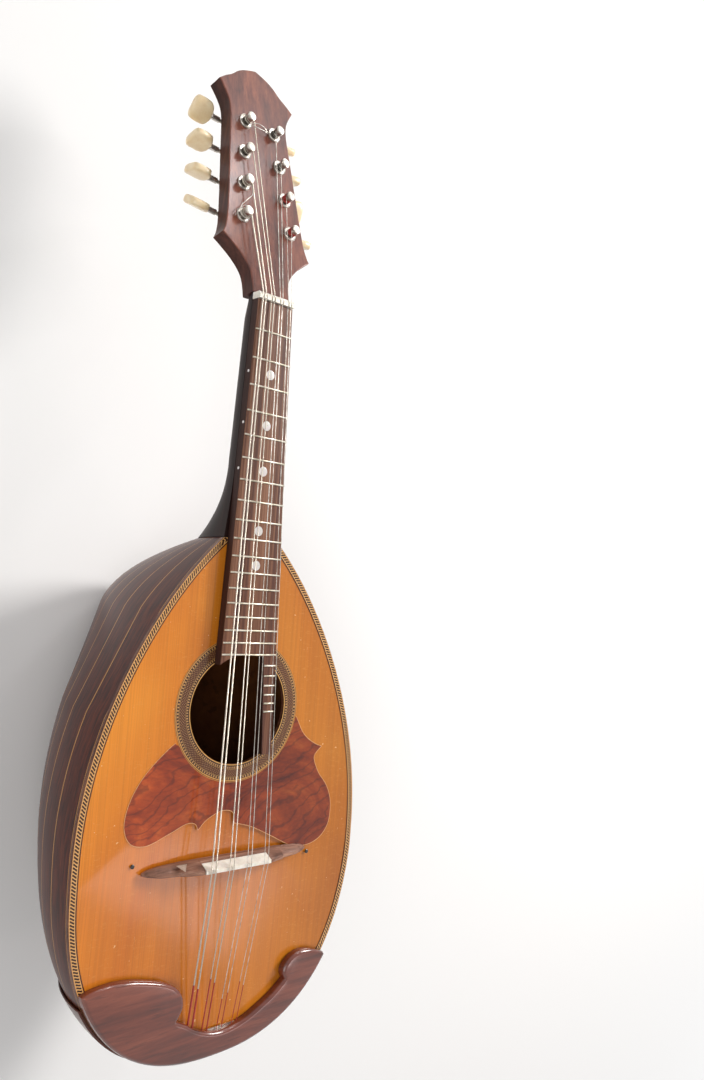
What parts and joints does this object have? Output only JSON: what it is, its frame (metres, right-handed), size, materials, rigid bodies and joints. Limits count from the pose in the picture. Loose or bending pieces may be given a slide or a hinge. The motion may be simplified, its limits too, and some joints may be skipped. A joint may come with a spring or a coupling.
{
  "type": "bowl back mandolin",
  "caption": "Bowl back mandolin with ribbed bowl, inlaid soundboard, floating bridge, paired strings and geared tuning machines that turn",
  "frame": {"origin": "middle of the small flat on the lowest rib of the bowl, on which the instrument lies soundboard up", "axes": "+Z out of the soundboard, +Y along the strings to the head, +X to the treble side"},
  "size_m": [0.2048, 0.6197, 0.156],
  "materials": {
    "plain_steel": "plain string",
    "nickel": "aged nickel plate",
    "dark_rosewood": "dark gloss varnish",
    "grey_rosewood": "dull oiled",
    "cream_plastic": "aged cream",
    "wound_string": "wound string",
    "rope_purfling": "rope pattern edging under varnish",
    "streaked_rosewood": "oiled",
    "red_rosewood": "satin varnish",
    "pine": "raw",
    "dark_mahogany": "satin dark stain",
    "bone": "bone, polished",
    "burl_rosewood": "figured inlay under varnish",
    "mosaic_ring": "mosaic ring under varnish",
    "amber_spruce": "varnished amber",
    "glossy_rosewood": "gloss varnish"
  },
  "bodies": {
    "instrument": {"a_string_1": "plain_steel", "a_string_2": "plain_steel", "bass_tuner_plate": "nickel", "bowl_rib_1": "dark_rosewood", "bowl_rib_2": "dark_rosewood", "bowl_rib_3": "dark_rosewood", "bowl_rib_4": "dark_rosewood", "bowl_rib_5": "dark_rosewood", "bowl_rib_6": "dark_rosewood", "bowl_rib_7": "dark_rosewood", "bowl_rib_8": "dark_rosewood", "bowl_rib_9": "dark_rosewood", "bridge": "grey_rosewood", "d_string_1": "wound_string", "d_string_2": "wound_string", "e_string_1": "plain_steel", "e_string_2": "plain_steel", "edge_binding": "rope_purfling", "end_clasp": "dark_rosewood", "fingerboard": "streaked_rosewood", "g_string_1": "wound_string", "g_string_2": "wound_string", "headstock": "red_rosewood", "lower_brace": "pine", "neck": "dark_mahogany", "neck_block": "pine", "nut": "bone", "pickguard": "burl_rosewood", "rosette": "mosaic_ring", "saddle": "bone", "soundboard": "amber_spruce", "tail_block": "pine", "tail_cover": "glossy_rosewood", "tailpiece": "nickel", "treble_tuner_plate": "nickel", "upper_brace": "pine"},
    "worm_1": {"worm_shaft_1": "nickel", "button_1": "cream_plastic"},
    "post_1": {"string_post_1": "nickel"},
    "worm_2": {"worm_shaft_2": "nickel", "button_2": "cream_plastic"},
    "post_2": {"string_post_2": "nickel"},
    "worm_3": {"worm_shaft_3": "nickel", "button_3": "cream_plastic"},
    "post_3": {"string_post_3": "nickel"},
    "worm_4": {"worm_shaft_4": "nickel", "button_4": "cream_plastic"},
    "post_4": {"string_post_4": "nickel"},
    "worm_5": {"worm_shaft_5": "nickel", "button_5": "cream_plastic"},
    "post_5": {"string_post_5": "nickel"},
    "worm_6": {"worm_shaft_6": "nickel", "button_6": "cream_plastic"},
    "post_6": {"string_post_6": "nickel"},
    "worm_7": {"worm_shaft_7": "nickel", "button_7": "cream_plastic"},
    "post_7": {"string_post_7": "nickel"},
    "worm_8": {"worm_shaft_8": "nickel", "button_8": "cream_plastic"},
    "post_8": {"string_post_8": "nickel"}
  },
  "joints": [
    {"name": "button_turn_1", "type": "hinge", "parent": "instrument", "child": "worm_1", "pos_m": [-0.0183, 0.27811, 0.11482], "axis": [-0.9945, 0.1019, -0.0228], "continuous": true},
    {"name": "post_turn_1", "type": "hinge", "parent": "instrument", "child": "post_1", "pos_m": [-0.01895, 0.27569, 0.13227], "axis": [0, 0.2181, 0.9759], "continuous": true},
    {"name": "button_turn_2", "type": "hinge", "parent": "instrument", "child": "worm_2", "pos_m": [-0.01587, 0.30068, 0.10978], "axis": [-0.9945, 0.1019, -0.0228], "continuous": true},
    {"name": "post_turn_2", "type": "hinge", "parent": "instrument", "child": "post_2", "pos_m": [-0.01652, 0.29827, 0.12723], "axis": [0, 0.2181, 0.9759], "continuous": true},
    {"name": "button_turn_3", "type": "hinge", "parent": "instrument", "child": "worm_3", "pos_m": [-0.01345, 0.32326, 0.10473], "axis": [-0.9945, 0.1019, -0.0228], "continuous": true},
    {"name": "post_turn_3", "type": "hinge", "parent": "instrument", "child": "post_3", "pos_m": [-0.01409, 0.32084, 0.12218], "axis": [0, 0.2181, 0.9759], "continuous": true},
    {"name": "button_turn_4", "type": "hinge", "parent": "instrument", "child": "worm_4", "pos_m": [-0.01102, 0.34583, 0.09969], "axis": [-0.9945, 0.1019, -0.0228], "continuous": true},
    {"name": "post_turn_4", "type": "hinge", "parent": "instrument", "child": "post_4", "pos_m": [-0.01166, 0.34341, 0.11713], "axis": [0, 0.2181, 0.9759], "continuous": true},
    {"name": "button_turn_5", "type": "hinge", "parent": "instrument", "child": "worm_5", "pos_m": [0.0183, 0.27811, 0.11482], "axis": [0.9945, 0.1019, -0.0228], "continuous": true},
    {"name": "post_turn_5", "type": "hinge", "parent": "instrument", "child": "post_5", "pos_m": [0.01895, 0.27569, 0.13227], "axis": [0, 0.2181, 0.9759], "continuous": true},
    {"name": "button_turn_6", "type": "hinge", "parent": "instrument", "child": "worm_6", "pos_m": [0.01587, 0.30068, 0.10978], "axis": [0.9945, 0.1019, -0.0228], "continuous": true},
    {"name": "post_turn_6", "type": "hinge", "parent": "instrument", "child": "post_6", "pos_m": [0.01652, 0.29827, 0.12723], "axis": [0, 0.2181, 0.9759], "continuous": true},
    {"name": "button_turn_7", "type": "hinge", "parent": "instrument", "child": "worm_7", "pos_m": [0.01345, 0.32326, 0.10473], "axis": [0.9945, 0.1019, -0.0228], "continuous": true},
    {"name": "post_turn_7", "type": "hinge", "parent": "instrument", "child": "post_7", "pos_m": [0.01409, 0.32084, 0.12218], "axis": [0, 0.2181, 0.9759], "continuous": true},
    {"name": "button_turn_8", "type": "hinge", "parent": "instrument", "child": "worm_8", "pos_m": [0.01102, 0.34583, 0.09969], "axis": [0.9945, 0.1019, -0.0228], "continuous": true},
    {"name": "post_turn_8", "type": "hinge", "parent": "instrument", "child": "post_8", "pos_m": [0.01166, 0.34341, 0.11713], "axis": [0, 0.2181, 0.9759], "continuous": true}
  ],
  "couplings": [
    {"joint": "post_turn_1", "follows": "button_turn_1", "ratio": -0.071429},
    {"joint": "post_turn_2", "follows": "button_turn_2", "ratio": -0.071429},
    {"joint": "post_turn_3", "follows": "button_turn_3", "ratio": -0.071429},
    {"joint": "post_turn_4", "follows": "button_turn_4", "ratio": -0.071429},
    {"joint": "post_turn_5", "follows": "button_turn_5", "ratio": 0.071429},
    {"joint": "post_turn_6", "follows": "button_turn_6", "ratio": 0.071429},
    {"joint": "post_turn_7", "follows": "button_turn_7", "ratio": 0.071429},
    {"joint": "post_turn_8", "follows": "button_turn_8", "ratio": 0.071429}
  ]
}
